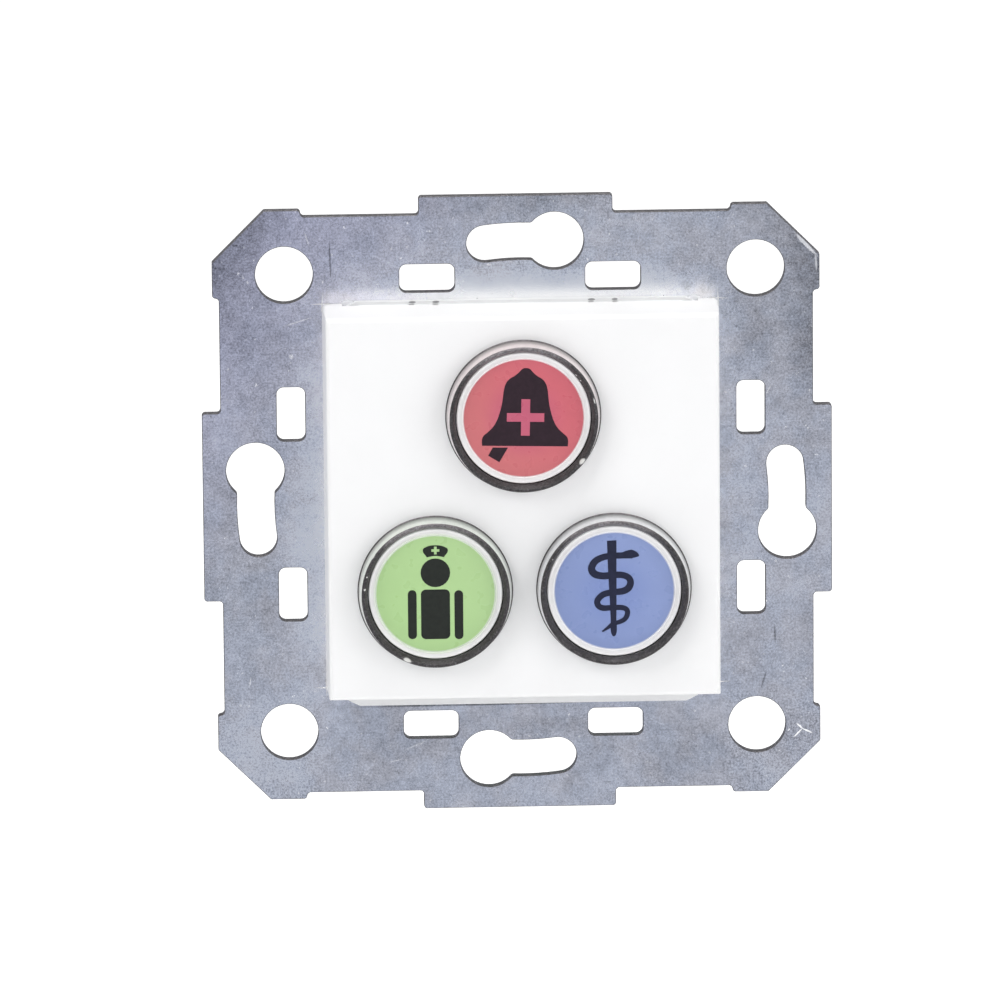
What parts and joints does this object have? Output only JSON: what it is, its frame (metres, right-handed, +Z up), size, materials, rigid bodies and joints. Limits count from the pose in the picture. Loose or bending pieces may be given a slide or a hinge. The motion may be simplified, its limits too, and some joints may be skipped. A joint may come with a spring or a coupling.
{
  "type": "nurse call button",
  "caption": "Flush-box nurse call unit: square white cover with round lit push buttons for alarm, nurse and doctor on a steel mounting plate with keyholes.",
  "frame": {"origin": "middle of the mounting plate's back face, on the wall", "axes": "+X to the right as seen from the room, +Y into the wall, +Z up; the buttons face -Y"},
  "size_m": [0.0711, 0.0298, 0.0711],
  "materials": {
    "galvanised_steel": "zinc-coated sheet, dull, finely mottled",
    "white_plastic": "glossy white",
    "housing_plastic": "matt white",
    "board_laminate": "green solder mask",
    "zinc_steel": "zinc plated",
    "terminal_plastic": "matt green",
    "tinned_metal": "tinned",
    "chrome": "polished",
    "nickel_plate": "nickel plated",
    "lens_plastic": "translucent white",
    "red_film": "soft matt red",
    "green_film": "soft matt green",
    "blue_film": "soft matt blue",
    "natural_plastic": "natural",
    "spring_steel": "bright drawn wire",
    "brass": "bright",
    "black_plastic": "matt black",
    "gold_plate": "gold plated",
    "led_resin": "clear resin"
  },
  "bodies": {
    "frame": {"mounting_plate": "galvanised_steel", "front_cover": "white_plastic", "rear_housing": "housing_plastic", "circuit_board": "board_laminate", "board_screws": "zinc_steel", "terminal_block": "terminal_plastic", "terminal_clamps": "tinned_metal", "terminal_screws": "zinc_steel", "bell_bezel_ring": "chrome", "bell_lock_nut": "nickel_plate", "bell_return_spring": "spring_steel", "bell_contact_block": "black_plastic", "bell_fixed_contacts": "gold_plate", "bell_led": "led_resin", "nurse_bezel_ring": "chrome", "nurse_lock_nut": "nickel_plate", "nurse_return_spring": "spring_steel", "nurse_contact_block": "black_plastic", "nurse_fixed_contacts": "gold_plate", "nurse_led": "led_resin", "doctor_bezel_ring": "chrome", "doctor_lock_nut": "nickel_plate", "doctor_return_spring": "spring_steel", "doctor_contact_block": "black_plastic", "doctor_fixed_contacts": "gold_plate", "doctor_led": "led_resin"},
    "bell_button": {"bell_lens_cap": "lens_plastic", "bell_legend_disc": "red_film", "bell_plunger": "natural_plastic", "bell_contact_disc": "brass"},
    "nurse_button": {"nurse_lens_cap": "lens_plastic", "nurse_legend_disc": "green_film", "nurse_plunger": "natural_plastic", "nurse_contact_disc": "brass"},
    "doctor_button": {"doctor_lens_cap": "lens_plastic", "doctor_legend_disc": "blue_film", "doctor_plunger": "natural_plastic", "doctor_contact_disc": "brass"}
  },
  "joints": [
    {"name": "bell_press", "type": "slide", "parent": "frame", "child": "bell_button", "axis": [0, 1, 0], "range_m": [0, 0.0015], "stiffness_N_per_m": 500, "springref_m": -0.002, "deforming": ["bell_return_spring"]},
    {"name": "nurse_press", "type": "slide", "parent": "frame", "child": "nurse_button", "axis": [0, 1, 0], "range_m": [0, 0.0015], "stiffness_N_per_m": 500, "springref_m": -0.002, "deforming": ["nurse_return_spring"]},
    {"name": "doctor_press", "type": "slide", "parent": "frame", "child": "doctor_button", "axis": [0, 1, 0], "range_m": [0, 0.0015], "stiffness_N_per_m": 500, "springref_m": -0.002, "deforming": ["doctor_return_spring"]}
  ]
}
